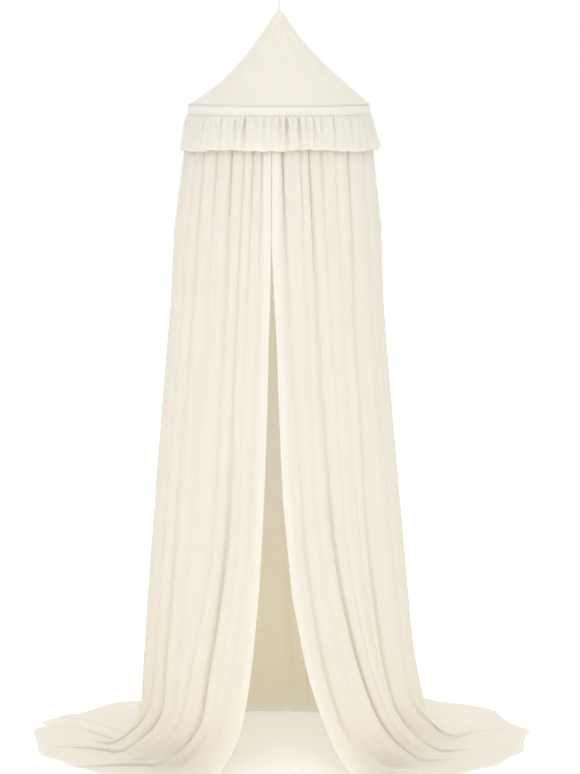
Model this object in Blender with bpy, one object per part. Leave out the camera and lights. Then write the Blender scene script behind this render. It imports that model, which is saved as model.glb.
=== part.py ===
"""Bed canopy with hoop: a pointed cloth roof over a plain hoop, a short ruffle and a long gathered drape that opens
at the front and lies on the floor to both sides. It hangs by a thin cord loop.

Metres, +Z up, front at -Y. Heights below are above the floor, and the part's origin is the top of the hanging loop.
A turn is an angle seen from above, in degrees, from the front (0) by the left (90) and the back (180) to the right
(270).
"""

import math
from collections import namedtuple

import bpy
import numpy as np

# Driving sizes
HOOP_RADIUS = 0.2455
HOOP_HEIGHT = 1.832
TIP_HEIGHT = 2.095
LOOP_TOP = 2.160
BAND_FOOT = 1.812
RUFFLE_FOOT = 1.720
DRAPE_HEAD = 1.822

# Cloth and small sizes
SEAM_GAP = 0.0003
SHEET = 0.0016
BAND_SHEET = 0.0018
RUFFLE_SHEET = 0.0012
TUBE_RADIUS = 0.004
TIP_RADIUS = 0.0045
DRAPE_SEAM_RADIUS = 0.248
DRAPE_SHOWN_RADIUS = 0.260
PLEATS = 36
PLEAT_DEPTH = 0.0042
RUFFLE_FLARE = 0.0245
CORD_DIAMETER = 0.002
ROUND_STEPS = 48

# The drape's levels: below HANG_TOP it hangs free of the band, UNDER_RUFFLE is where it shows below the ruffle,
# MIDDLE is where the front starts to part, and at LANDING the cloth starts to turn onto the floor
HANG_TOP = 1.800
UNDER_RUFFLE = 1.720
MIDDLE = 0.785
LANDING = 0.150

Fold = namedtuple("Fold", "name head middle foot head_depth middle_depth foot_depth")
Opening = namedtuple("Opening", "height left right")
HemPoint = namedtuple("HemPoint", "turn x y")

# Valleys of the drape, each with its turn at the head, at MIDDLE and at LANDING, and how far it lies behind the
# crowns beside it at those levels
LEFT_FOLDS = (
    Fold("left edge", 4.6, 7.9, 17.8, 0.000, 0.000, 0.000),
    Fold("left inner", 9.7, 13.8, 26.0, 0.006, 0.004, 0.003),
    Fold("left short", 16.0, 19.3, 31.5, 0.007, 0.003, 0.002),
    Fold("left main", 21.6, 25.2, 38.0, 0.006, 0.016, 0.028),
    Fold("left upper", 29.5, 33.0, 47.0, 0.009, 0.008, 0.004),
    Fold("left faint", 40.0, 45.0, 53.0, 0.005, 0.004, 0.003),
    Fold("left side", 51.5, 57.0, 60.0, 0.008, 0.010, 0.016),
    Fold("left low", 63.0, 66.0, 70.0, 0.005, 0.006, 0.014),
)
RIGHT_FOLDS = (
    Fold("right low", 297.0, 294.0, 291.0, 0.005, 0.006, 0.016),
    Fold("right side", 313.5, 313.5, 303.0, 0.009, 0.011, 0.020),
    Fold("right faint", 324.0, 321.0, 307.0, 0.005, 0.004, 0.002),
    Fold("right upper", 334.0, 328.0, 310.5, 0.007, 0.004, 0.002),
    Fold("right main", 341.8, 334.5, 314.5, 0.009, 0.015, 0.024),
    Fold("right short", 347.4, 340.5, 324.0, 0.006, 0.003, 0.003),
    Fold("right inner", 358.5, 348.6, 333.3, 0.010, 0.010, 0.016),
    Fold("right edge", 364.15, 357.9, 341.4, 0.000, 0.000, 0.000),
)
BACK_FOLDS = 13

# The turns of the two front edges by height: they meet down to 1.46 and part below it
FRONT_OPENING = (
    Opening(1.822, 4.60, 4.15),
    Opening(1.460, 4.40, 4.05),
    Opening(1.325, 4.80, 2.67),
    Opening(1.223, 5.37, 1.47),
    Opening(1.022, 6.00, 0.09),
    Opening(0.790, 7.20, -1.65),
    Opening(0.520, 9.40, -5.90),
    Opening(0.345, 11.90, -11.20),
    Opening(0.260, 13.80, -14.10),
    Opening(0.150, 17.80, -18.60),
)

# Where the hem lies on the floor, by the turn from which each part of it came down
HEM = (
    HemPoint(17.8, -0.410, -0.375),
    HemPoint(38.0, -0.570, -0.180),
    HemPoint(60.0, -0.692, 0.005),
    HemPoint(80.0, -0.728, 0.190),
    HemPoint(98.0, -0.690, 0.295),
    HemPoint(120.0, -0.590, 0.415),
    HemPoint(142.0, -0.440, 0.525),
    HemPoint(180.0, 0.000, 0.560),
    HemPoint(218.0, 0.440, 0.525),
    HemPoint(243.0, 0.630, 0.400),
    HemPoint(268.0, 0.690, 0.280),
    HemPoint(291.0, 0.738, 0.170),
    HemPoint(303.0, 0.700, -0.015),
    HemPoint(314.5, 0.640, -0.115),
    HemPoint(333.3, 0.515, -0.245),
    HemPoint(341.4, 0.430, -0.340),
)

# Samples: rows down the drape, and columns between two of its valleys
HANG_ROWS = (1.822, 1.800, 1.760, 1.680, 1.460, 1.223, 1.022, 0.790, 0.520, 0.345, 0.240, 0.150)
FLOOR_ROWS = (0.08, 0.17, 0.28, 0.42, 0.60, 0.80, 1.00)
FRONT_COLUMNS = 5
BACK_COLUMNS = 3
BEND_SHARE = 0.42

# The hanging cord: half of its route, from the roof's tip up one strand to the top of the eye
STRAND_GAP = CORD_DIAMETER
EYE_HALF_WIDTH = 0.0062

CREAM = (0.87, 0.82, 0.72)
LIGHT_CREAM = (0.90, 0.86, 0.78)
HOOP_WHITE = (0.80, 0.79, 0.76)


def clear_scene():
    for obj in list(bpy.data.objects):
        bpy.data.objects.remove(obj, do_unlink=True)


def material(name, colour, roughness, metallic=0.0):
    made = bpy.data.materials.new(name)
    made.use_nodes = True
    shader = made.node_tree.nodes["Principled BSDF"]
    shader.inputs["Base Color"].default_value = (*colour, 1.0)
    shader.inputs["Roughness"].default_value = roughness
    shader.inputs["Metallic"].default_value = metallic
    return made


def place(name, points, faces, finish):
    """Adds a mesh object from points with heights above the floor, moved so that the loop's top is the origin."""
    lowered = [(x, y, z - LOOP_TOP) for x, y, z in points]
    mesh = bpy.data.meshes.new(name)
    mesh.from_pydata(lowered, [], faces)
    mesh.validate()
    mesh.shade_smooth()
    mesh.set_sharp_from_angle(angle=math.radians(40))
    mesh.materials.append(finish)
    obj = bpy.data.objects.new(name, mesh)
    bpy.context.scene.collection.objects.link(obj)
    return obj


def normals(grid, wraps):
    """Unit normals of a grid of points, rows by columns; they point out of the cloth's face side."""
    if wraps:
        across = np.roll(grid, -1, axis=1) - np.roll(grid, 1, axis=1)
    else:
        across = np.gradient(grid, axis=1)
    down = np.gradient(grid, axis=0)
    out = np.cross(across, down)
    return out / np.linalg.norm(out, axis=2, keepdims=True)


def sheet(name, grid, thickness, finish, wraps=False, floor=None, tip=False):
    """A closed sheet of the given thickness about a grid of middle points, its columns going round by the left.

    With floor it lies on that height where it comes down. With tip its first row is closed by a small flat cap.
    """
    offset = normals(grid, wraps) * thickness / 2
    if tip:
        offset[0] = (0.0, 0.0, thickness / 2)
    face, back = grid + offset, grid - offset
    if floor is not None:
        back[..., 2] = np.maximum(back[..., 2], floor)
        face[..., 2] = np.maximum(face[..., 2], back[..., 2] + thickness / 2)
    rows, columns = grid.shape[:2]
    points = np.concatenate([face.reshape(-1, 3), back.reshape(-1, 3)])
    behind = rows * columns
    last = columns if wraps else columns - 1
    faces = []
    for i in range(rows - 1):
        for j in range(last):
            k = (j + 1) % columns
            a, b = i * columns + j, i * columns + k
            c, d = a + columns, b + columns
            faces.append((a, b, d, c))
            faces.append((behind + a, behind + c, behind + d, behind + b))
    for j in range(last):
        k = (j + 1) % columns
        c, d = (rows - 1) * columns + j, (rows - 1) * columns + k
        faces.append((c, d, behind + d, behind + c))
        if not tip:
            faces.append((j, behind + j, behind + k, k))
    if tip:
        faces.append(tuple(range(columns - 1, -1, -1)))
        faces.append(tuple(range(behind, behind + columns)))
    if not wraps:
        for i in range(rows - 1):
            a, c = i * columns, (i + 1) * columns
            faces.append((a, c, behind + c, behind + a))
            b, d = a + columns - 1, c + columns - 1
            faces.append((b, behind + b, behind + d, d))
    return place(name, points.tolist(), faces, finish)


def turned(name, profile, finish, steps=ROUND_STEPS):
    """A closed ring: a closed section of (radius, height) points turned about the axis."""
    count = len(profile)
    points = []
    faces = []
    for i in range(steps):
        angle = 2 * math.pi * i / steps
        points += [(r * math.cos(angle), r * math.sin(angle), z) for r, z in profile]
        for j in range(count):
            a, b = i * count + j, i * count + (j + 1) % count
            c, d = (a + count) % (steps * count), (b + count) % (steps * count)
            faces.append((a, c, d, b))
    return place(name, points, faces, finish)


def arc(radius, first, last, steps):
    """Points of an arc about the hoop's tube, by the angle from straight out, in degrees."""
    angles = [math.radians(first + (last - first) * i / steps) for i in range(steps + 1)]
    return [(HOOP_RADIUS + radius * math.cos(a), HOOP_HEIGHT + radius * math.sin(a)) for a in angles]


def hoop(finish):
    return turned("hoop", arc(TUBE_RADIUS, 0, 315, 7), finish)


def band(finish):
    """The strip folded over the hoop: open below on the inside, with its outer side hanging down as the flat band."""
    inner = TUBE_RADIUS + SEAM_GAP
    outer = inner + BAND_SHEET
    profile = [(HOOP_RADIUS + outer, BAND_FOOT)]
    profile += arc(outer, 0, 225, 5)
    profile += arc(inner, 225, 0, 5)
    profile.append((HOOP_RADIUS + inner, BAND_FOOT))
    return turned("band", profile, finish)


def roof(finish):
    """The roof panel: its sides sag inward between the stitched tip and the hoop, with soft creases below the tip."""
    seam_angle = math.radians(53)
    reach = TUBE_RADIUS + SEAM_GAP + BAND_SHEET + SHEET / 2
    foot_radius = HOOP_RADIUS + reach * math.cos(seam_angle)
    foot_height = HOOP_HEIGHT + reach * math.sin(seam_angle)
    grid = []
    for share in (0.0, 0.04, 0.14, 0.32, 0.56, 0.80, 1.0):
        sag = 0.38 * share**1.15 * (1 - share)
        radius = TIP_RADIUS + (foot_radius - TIP_RADIUS) * (share - sag)
        crease = 0.05 * radius * (1 - share) ** 2 * min(share / 0.1, 1)
        row = []
        for j in range(ROUND_STEPS):
            turn = 2 * math.pi * j / ROUND_STEPS
            r = radius + crease * math.sin(12 * turn + 1.3 * math.sin(2 * turn))
            row.append((-r * math.sin(turn), -r * math.cos(turn), TIP_HEIGHT - (TIP_HEIGHT - foot_height) * share))
        grid.append(row)
    return sheet("roof", np.array(grid), SHEET, finish, wraps=True, tip=True)


def ruffle(finish):
    """The gathered valance: uneven pleats that grow from the seam to a flared, wavy lower edge."""
    per_pleat = 4
    seam_radius = HOOP_RADIUS + TUBE_RADIUS + SEAM_GAP + BAND_SHEET - RUFFLE_SHEET / 2
    head = BAND_FOOT - SEAM_GAP - RUFFLE_SHEET / 3
    grid = []
    for share in (0.0, 0.14, 0.5, 1.0):
        row = []
        for j in range(PLEATS * per_pleat):
            pleat = j / per_pleat
            turn = 2 * math.pi * (pleat + 0.22 * math.sin(1.7 * pleat)) / PLEATS
            depth = PLEAT_DEPTH * (1 + 0.45 * math.sin(2.3 * math.floor(pleat) + 1.0)) * min(share / 0.3, 1)
            flare = RUFFLE_FLARE * share**0.85 + 0.0025 * math.sin(3 * turn + 0.6) * share**2
            r = seam_radius + flare + depth * math.cos(2 * math.pi * pleat)
            drop = head - RUFFLE_FOOT + 0.005 * math.sin(2 * turn + 0.8) + 0.003 * math.sin(7 * turn)
            row.append((-r * math.sin(turn), -r * math.cos(turn), head - drop * share))
        grid.append(row)
    return sheet("ruffle", np.array(grid), RUFFLE_SHEET, finish, wraps=True)


def all_folds():
    """The valleys in order round the drape: those of the left front, evenly varied ones behind, the right front."""
    before, after = LEFT_FOLDS[-1], RIGHT_FOLDS[0]
    folds = list(LEFT_FOLDS)
    for k in range(BACK_FOLDS):
        share = (k + 1) / (BACK_FOLDS + 1)
        sway = 2.6 * math.sin(2.4 * k) * math.sin(math.pi * share)
        wide = 1 + 0.35 * math.sin(1.9 * k + 0.7)
        head = before.head + (after.head - before.head) * share + sway
        foot = before.foot + (after.foot - before.foot) * share + 1.6 * sway
        folds.append(Fold(f"back {k}", head, (head + foot) / 2, foot, 0.007 * wide, 0.012 * wide, 0.018 * wide))
    return folds + list(RIGHT_FOLDS)


def at_height(z, head, middle, foot):
    """Goes slowly at first from the head to the middle, and again, ever faster, from there to the foot."""
    upper = min(max((DRAPE_HEAD - z) / (DRAPE_HEAD - MIDDLE), 0), 1) ** 1.3
    lower = min(max((MIDDLE - z) / (MIDDLE - LANDING), 0), 1) ** 1.6
    return head + (middle - head) * upper + (foot - middle) * lower


def fold_turn(fold, z):
    """A fold's turn at a height. The front edges follow the table of their own."""
    if fold in (LEFT_FOLDS[0], RIGHT_FOLDS[-1]):
        heights = [row.height for row in reversed(FRONT_OPENING)]
        if fold is LEFT_FOLDS[0]:
            return float(np.interp(z, heights, [row.left for row in reversed(FRONT_OPENING)]))
        return 360 + float(np.interp(z, heights, [row.right for row in reversed(FRONT_OPENING)]))
    return at_height(z, fold.head, fold.middle, fold.foot)


def near_floor(z):
    """From 0 well above the landing to 1 at it."""
    return min(max(1 - (z - LANDING) / 0.2, 0), 1) ** 2


def head_radius(z):
    """The drape's radius inside the band and behind the ruffle."""
    down = min(max((HANG_TOP - z) / (HANG_TOP - UNDER_RUFFLE), 0), 1)
    return DRAPE_SEAM_RADIUS + (DRAPE_SHOWN_RADIUS - DRAPE_SEAM_RADIUS) * down


def envelope(turn, z):
    """The radius of the drape's crowns, wider to the sides than to the front and back."""
    below = max(UNDER_RUFFLE - z, 0)
    half_width = head_radius(z) + 0.0885 * below + 0.009 * near_floor(z)
    half_depth = head_radius(z) + 0.0665 * below
    return 1 / math.hypot(math.sin(turn) / half_width, math.cos(turn) / half_depth)


def lean(turn, z):
    """How far the sides hang to the left half way down, and the whole to the right at its foot."""
    down = min(max((UNDER_RUFFLE + 0.03 - z) / 1.45, 0), 1)
    return -0.0085 * math.sin(math.pi * down) * math.sin(turn) ** 2 + 0.011 * near_floor(z)


def crown(part):
    """0 in a valley and 1 half way to the next, rising quickly, so that the valleys are narrow."""
    return abs(math.sin(math.pi * part)) ** 0.9


def hem_at(turn):
    """The hem's place on the floor, on a smooth curve through the points of HEM."""
    turns = np.array([point.turn for point in HEM])
    i = int(np.clip(np.searchsorted(turns, turn, side="right") - 1, 0, len(turns) - 2))
    width = turns[i + 1] - turns[i]
    t = (turn - turns[i]) / width
    found = []
    for values in (np.array([p.x for p in HEM]), np.array([p.y for p in HEM])):
        slopes = np.gradient(values, turns)
        found.append(
            (2 * t**3 - 3 * t**2 + 1) * values[i]
            + (t**3 - 2 * t**2 + t) * width * slopes[i]
            + (3 * t**2 - 2 * t**3) * values[i + 1]
            + (t**3 - t**2) * width * slopes[i + 1]
        )
    return np.array(found)


def hanging_point(fold, after, part, z):
    """A point between two valleys: part is 0 at the first and 1 at the next."""
    turn = math.radians(fold_turn(fold, z) * (1 - part) + fold_turn(after, z) * part)
    depth = (
        at_height(z, fold.head_depth, fold.middle_depth, fold.foot_depth) * (1 - part)
        + at_height(z, after.head_depth, after.middle_depth, after.foot_depth) * part
    )
    depth *= min(max((DRAPE_HEAD - z) / 0.09, 0), 1)
    r = envelope(turn, z) - depth * (1 - crown(part))
    return (lean(turn, z) - r * math.sin(turn), -r * math.cos(turn), z)


def floor_point(fold, after, part, run):
    """A point past the landing: the cloth turns from hanging to lying, and is swept sideways except at the back."""
    turn = math.radians(fold.foot * (1 - part) + after.foot * part)
    depth = fold.foot_depth * (1 - part) + after.foot_depth * part
    r = envelope(turn, LANDING)
    out = np.array([-math.sin(turn), -math.cos(turn)])
    foot = np.array([lean(turn, LANDING), 0.0]) + r * out
    hem = hem_at(math.degrees(turn))
    span = float(np.linalg.norm(hem - foot))
    sweep = min(max((math.cos(turn) + 0.55) / 0.9, 0), 1)
    sideways = np.array([math.copysign(sweep, out[0]), 0.0])
    from_front = abs((math.degrees(turn) + 180) % 360 - 180)
    drift = 0.07 * min(max((from_front - 18) / 18, 0), 1) * min(max((100 - from_front) / 30, 0), 1)
    first = foot + span * (0.12 * out + 0.26 * sideways) + np.array([0.0, drift])
    last = hem - span * 0.40 * (sideways + (1 - sweep) * out)
    plan = (1 - run) ** 3 * foot + 3 * (1 - run) ** 2 * run * first + 3 * (1 - run) * run**2 * last + run**3 * hem
    fall = max(1 - run / BEND_SHARE, 0) ** 2.1
    plan = plan - out * depth * (1 - crown(part)) * fall
    lift = depth * (0.8 - 0.6 * run) * crown(part) * (1 - fall)
    return (plan[0], plan[1], SHEET / 2 + (LANDING - SHEET / 2) * fall + lift)


def drape(finish):
    """The long curtain, one cloth from its left front edge round the back to its right front edge."""
    folds = all_folds()
    spots = []
    for i, fold in enumerate(folds[:-1]):
        count = FRONT_COLUMNS if fold in LEFT_FOLDS or fold in RIGHT_FOLDS else BACK_COLUMNS
        spots += [(fold, folds[i + 1], k / count) for k in range(count)]
    spots.append((folds[-2], folds[-1], 1.0))
    grid = [[hanging_point(*spot, z) for spot in spots] for z in HANG_ROWS]
    grid += [[floor_point(*spot, run) for spot in spots] for run in FLOOR_ROWS]
    return sheet("drape", np.array(grid), SHEET, finish, floor=0.0)


def smooth_route(points, count):
    """Even points along a smooth curve through the route's points."""
    points = np.array(points)
    padded = np.vstack([2 * points[0] - points[1], points, 2 * points[-1] - points[-2]])
    fine = []
    for i in range(1, len(padded) - 2):
        p0, p1, p2, p3 = padded[i - 1 : i + 3]
        for t in np.linspace(0, 1, 24, endpoint=False):
            fine.append(
                0.5 * (2 * p1 + (p2 - p0) * t + (2 * p0 - 5 * p1 + 4 * p2 - p3) * t**2 + (3 * p1 - p0 - 3 * p2 + p3) * t**3)
            )
    fine.append(padded[-2])
    fine = np.array(fine)
    along = np.concatenate([[0], np.cumsum(np.linalg.norm(np.diff(fine, axis=0), axis=1))])
    even = np.linspace(0, along[-1], count)
    return np.column_stack([np.interp(even, along, fine[:, axis]) for axis in range(3)])


def loop_route():
    """The cord's route: up one strand, round the eye and down the other, its ends on the roof's tip."""
    strand = (CORD_DIAMETER + STRAND_GAP) / 2
    start = TIP_HEIGHT + SHEET / 2 + SEAM_GAP
    top = LOOP_TOP - CORD_DIAMETER / 2
    half = [
        (strand, start),
        (strand, start + 0.010),
        (strand, start + 0.022),
        (strand + 0.0003, start + 0.032),
        (strand + 0.0022, top - 0.020),
        (EYE_HALF_WIDTH - 0.0006, top - 0.013),
        (EYE_HALF_WIDTH, top - 0.0075),
        (0.0043, top - 0.0020),
    ]
    other = [(-x, z) for x, z in reversed(half)]
    return [(x, 0.0, z) for x, z in half + [(0.0, top)] + other]


def hanging_loop(finish):
    route = smooth_route(loop_route(), 33)
    curve = bpy.data.curves.new("hanging_loop", "CURVE")
    curve.dimensions = "3D"
    curve.bevel_depth = CORD_DIAMETER / 2
    curve.bevel_resolution = 2
    curve.use_fill_caps = True
    spline = curve.splines.new("POLY")
    spline.points.add(len(route) - 1)
    for point, (x, y, z) in zip(spline.points, route):
        point.co = (x, y, z - LOOP_TOP, 1.0)
    curve.materials.append(finish)
    obj = bpy.data.objects.new("hanging_loop", curve)
    bpy.context.scene.collection.objects.link(obj)
    return obj


def build():
    clear_scene()
    cloth = material("cream_cotton", CREAM, 0.92)
    strip = material("band_cotton", LIGHT_CREAM, 0.90)
    ring = material("hoop_plastic", HOOP_WHITE, 0.45)
    cord = material("cotton_cord", CREAM, 0.88)
    hoop(ring)
    band(strip)
    roof(cloth)
    ruffle(cloth)
    drape(cloth)
    hanging_loop(cord)


build()
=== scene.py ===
"""Looks of the bed canopy with hoop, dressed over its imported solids.

Metres, +Z up, front at -Y. Heights are above the floor, as in the part's own source, and placed() moves
them into the part's frame, whose origin is the top of the hanging loop. A turn is an angle seen from
above, in degrees, from the front (0) by the left (90) and the back (180) to the right (270).
"""

import math
from collections import namedtuple

import bpy
import numpy as np
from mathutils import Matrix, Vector


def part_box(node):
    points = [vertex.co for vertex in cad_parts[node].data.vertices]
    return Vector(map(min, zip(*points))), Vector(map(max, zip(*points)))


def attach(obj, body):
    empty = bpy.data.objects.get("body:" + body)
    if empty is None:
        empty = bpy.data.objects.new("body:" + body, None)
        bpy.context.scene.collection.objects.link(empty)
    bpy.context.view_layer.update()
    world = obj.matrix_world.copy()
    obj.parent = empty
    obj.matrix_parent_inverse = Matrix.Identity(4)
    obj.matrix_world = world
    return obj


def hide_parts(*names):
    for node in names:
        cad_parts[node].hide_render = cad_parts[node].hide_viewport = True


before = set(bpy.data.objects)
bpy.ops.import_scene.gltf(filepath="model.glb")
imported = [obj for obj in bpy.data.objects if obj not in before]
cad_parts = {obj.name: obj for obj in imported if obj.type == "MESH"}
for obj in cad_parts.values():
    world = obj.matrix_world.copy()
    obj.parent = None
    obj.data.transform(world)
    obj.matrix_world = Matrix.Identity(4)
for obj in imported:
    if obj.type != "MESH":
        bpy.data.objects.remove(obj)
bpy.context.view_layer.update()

# Camera, light and floor: a pale studio corner, lit softly from all round, a little more from the front and
# above. The camera stands 6.5 m in front of the canopy, a little above the hoop, and looks slightly down.

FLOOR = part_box("drape")[0].z
STAND_OFF = 6.5
EYE_HEIGHT = 1.9633
LOOK_DOWN = 8.009
LOOK_RIGHT = 0.2666
SENSOR = 36.0
PHOTO_LONG_SIDE = 774
FOCAL_PIXELS = 2334.0
OVERHEAD_LIGHT = 0.46
SIDE_LIGHT = -0.12
FLOOR_REACH = 20.0
FLOOR_GAP = 0.0006


def placed(points):
    """Points with heights above the floor, moved into the part's frame."""
    return np.asarray(points, float) + (0.0, 0.0, FLOOR)


def show(obj):
    """The object, put into the scene."""
    bpy.context.scene.collection.objects.link(obj)
    return obj


def feed(tree, node, inputs):
    """The node with its inputs, each a value or another node's output."""
    for label, value in dict(inputs).items():
        if isinstance(value, bpy.types.NodeSocket):
            tree.links.new(value, node.inputs[label])
        else:
            node.inputs[label].default_value = value
    return node


def add(tree, kind, inputs=(), **settings):
    """A new node with its settings and its inputs."""
    node = tree.nodes.new(kind)
    for label, value in settings.items():
        setattr(node, label, value)
    return feed(tree, node, inputs)


def calc(tree, operation, *values):
    """The result of a Math node, for writing a rule in nodes."""
    return add(tree, "ShaderNodeMath", enumerate(values), operation=operation).outputs[0]


def new_material(name):
    """A new material, its node tree and its main shader."""
    made = bpy.data.materials.new(name)
    made.use_nodes = True
    return made, made.node_tree, made.node_tree.nodes["Principled BSDF"]


def softbox(name, place, aim, size, power, colour):
    """A rectangular lamp at a place above the floor, turned to another place. The camera doesn't see it."""
    lamp = bpy.data.lights.new(name, "AREA")
    lamp.shape = "RECTANGLE"
    lamp.size, lamp.size_y = size
    lamp.energy = power
    lamp.color = colour
    obj = show(bpy.data.objects.new(name, lamp))
    start, end = Vector(placed(place)), Vector(placed(aim))
    obj.location = start
    obj.rotation_euler = (end - start).to_track_quat("-Z", "Y").to_euler()
    obj.visible_camera = False


lens = bpy.data.cameras.new("studio_camera")
lens.sensor_width = SENSOR
lens.lens = FOCAL_PIXELS * SENSOR / PHOTO_LONG_SIDE
camera = show(bpy.data.objects.new("studio_camera", lens))
camera.location = (0.0, -STAND_OFF, FLOOR + EYE_HEIGHT)
camera.rotation_euler = (math.radians(90 - LOOK_DOWN), 0.0, math.radians(-LOOK_RIGHT))
bpy.context.scene.camera = camera
bpy.context.scene.view_settings.view_transform = "Standard"

air = bpy.data.worlds.new("studio_air")
air.use_nodes = True
sky = air.node_tree
ray = add(sky, "ShaderNodeTexCoord").outputs["Generated"]
way = add(sky, "ShaderNodeSeparateXYZ", {0: ray}).outputs
overhead = calc(sky, "MULTIPLY_ADD", calc(sky, "MAXIMUM", way["Z"], 0.0), OVERHEAD_LIGHT, 1.0)
aside = calc(sky, "MULTIPLY", way["X"], way["X"])
strength = calc(sky, "MULTIPLY_ADD", aside, SIDE_LIGHT, overhead)
feed(sky, sky.nodes["Background"], {"Color": (1.0, 1.0, 1.0, 1.0), "Strength": strength})
bpy.context.scene.world = air
softbox(
    "front_softbox",
    place=(-0.2, -4.0, 3.5),
    aim=(0.0, -0.1, 0.8),
    size=(1.8, 1.8),
    power=34.0,
    colour=(1.0, 1.0, 1.0),
)
softbox(
    "back_softbox",
    place=(0.0, 3.6, 1.2),
    aim=(0.0, 0.0, 0.7),
    size=(2.4, 1.8),
    power=18.0,
    colour=(1.0, 0.96, 0.88),
)

floor_white, tree, shader = new_material("studio_floor")
floor_looks = {
    "Base Color": (0.97, 0.968, 0.962, 1.0),
    "Roughness": 0.9,
    "Specular IOR Level": 0.1,
    "Emission Color": (0.90, 0.96, 1.0, 1.0),
    "Emission Strength": 0.21,
}
feed(tree, shader, floor_looks)
floor_mesh = bpy.data.meshes.new("studio_floor")
corners = [(-1, -1), (1, -1), (1, 1), (-1, 1)]
floor_points = [(x * FLOOR_REACH, y * FLOOR_REACH, FLOOR - FLOOR_GAP) for x, y in corners]
floor_mesh.from_pydata(floor_points, [], [(0, 1, 2, 3)])
floor_mesh.materials.append(floor_white)
show(bpy.data.objects.new("studio_floor", floor_mesh))

# The hanging cord: one thin cotton cord of three plies twisted together, doubled into a loop. Both its ends
# are sewn into the roof's tip, and its eye goes over a hook in the ceiling.

TIP_HEIGHT = 2.095
LOOP_TOP = 2.160
CORD_DIAMETER = 0.002
STRAND_OFFSET = 0.002
CORD_START = TIP_HEIGHT + 0.0011
EYE_TOP = LOOP_TOP - CORD_DIAMETER / 2


def node_tree(name, sizes):
    """A new Geometry Nodes tree with its named inputs, its group input node and its group output node."""
    tree = bpy.data.node_groups.new(name, "GeometryNodeTree")
    tree.interface.new_socket("Geometry", in_out="INPUT", socket_type="NodeSocketGeometry")
    tree.interface.new_socket("Geometry", in_out="OUTPUT", socket_type="NodeSocketGeometry")
    for label, value in sizes.items():
        kind = "NodeSocketInt" if isinstance(value, int) else "NodeSocketFloat"
        tree.interface.new_socket(label, in_out="INPUT", socket_type=kind)
    return tree, tree.nodes.new("NodeGroupInput").outputs, tree.nodes.new("NodeGroupOutput").inputs


def finish_tree(tree, geometry, material, end):
    """Ends a tree: its instances are made real and take their material."""
    real = add(tree, "GeometryNodeRealizeInstances", {"Geometry": geometry})
    painted = add(tree, "GeometryNodeSetMaterial", {"Geometry": real.outputs[0], "Material": material})
    tree.links.new(painted.outputs[0], end["Geometry"])


def grown(name, source, tree, sizes):
    """The plain mesh that a tree makes of a source curve or mesh, as an object of its own."""
    show(source)
    modifier = source.modifiers.new(tree.name, "NODES")
    modifier.node_group = tree
    for socket in tree.interface.items_tree:
        if socket.in_out == "INPUT" and socket.name in sizes:
            modifier[socket.identifier] = sizes[socket.name]
    graph = bpy.context.evaluated_depsgraph_get()
    mesh = bpy.data.meshes.new_from_object(source.evaluated_get(graph), depsgraph=graph)
    mesh.name = name
    source.modifiers.remove(modifier)
    bpy.data.objects.remove(source)
    return show(bpy.data.objects.new(name, mesh))


def thread_line(name, runs):
    """A curve object with one open line through each run of points."""
    curve = bpy.data.curves.new(name, "CURVE")
    curve.dimensions = "3D"
    for run in runs:
        spline = curve.splines.new("POLY")
        spline.points.add(len(run) - 1)
        spline.points.foreach_set("co", np.column_stack([run, np.ones(len(run))]).ravel())
    return bpy.data.objects.new(name, curve)


def smooth_route(points, count):
    """Even points along a smooth curve through the route's points."""
    points = np.array(points)
    padded = np.vstack([2 * points[0] - points[1], points, 2 * points[-1] - points[-2]])
    fine = []
    for i in range(1, len(padded) - 2):
        p0, p1, p2, p3 = padded[i - 1 : i + 3]
        for t in np.linspace(0, 1, 24, endpoint=False):
            bend = (2 * p0 - 5 * p1 + 4 * p2 - p3) * t**2 + (3 * p1 - p0 - 3 * p2 + p3) * t**3
            fine.append(0.5 * (2 * p1 + (p2 - p0) * t + bend))
    fine.append(padded[-2])
    fine = np.array(fine)
    along = np.concatenate([[0], np.cumsum(np.linalg.norm(np.diff(fine, axis=0), axis=1))])
    even = np.linspace(0, along[-1], count)
    return np.column_stack([np.interp(even, along, fine[:, axis]) for axis in range(3)])


def two_tone(tree, share, dark, light):
    """A colour between two, at a share that another node gives."""
    mix = add(tree, "ShaderNodeMix", {"Factor": share, 6: (*dark, 1.0), 7: (*light, 1.0)}, data_type="RGBA")
    return mix.outputs[2]


def spun_cotton(name, dark, light, fibres, relief, roughness, sheen):
    """Spun cotton, a little shiny, with its fibres' scale and detail and its relief's strength and depth."""
    made, tree, shader = new_material(name)
    place = add(tree, "ShaderNodeTexCoord").outputs["Object"]
    noise = add(tree, "ShaderNodeTexNoise", {"Vector": place, "Scale": fibres[0], "Detail": fibres[1]})
    height = noise.outputs["Fac"]
    bump = add(tree, "ShaderNodeBump", {"Height": height, "Strength": relief[0], "Distance": relief[1]})
    looks = {
        "Base Color": two_tone(tree, height, dark, light),
        "Normal": bump.outputs["Normal"],
        "Roughness": roughness,
        "Sheen Weight": sheen,
    }
    feed(tree, shader, looks)
    return made


half_route = [
    (STRAND_OFFSET, CORD_START),
    (STRAND_OFFSET, CORD_START + 0.010),
    (STRAND_OFFSET, CORD_START + 0.022),
    (STRAND_OFFSET + 0.0003, CORD_START + 0.032),
    (STRAND_OFFSET + 0.0022, EYE_TOP - 0.020),
    (0.0056, EYE_TOP - 0.013),
    (0.0062, EYE_TOP - 0.0075),
    (0.0043, EYE_TOP - 0.0020),
]
whole_route = half_route + [(0.0, EYE_TOP)] + [(-x, z) for x, z in reversed(half_route)]
route = placed(smooth_route([(x, 0.0, z) for x, z in whole_route], 33))

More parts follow.
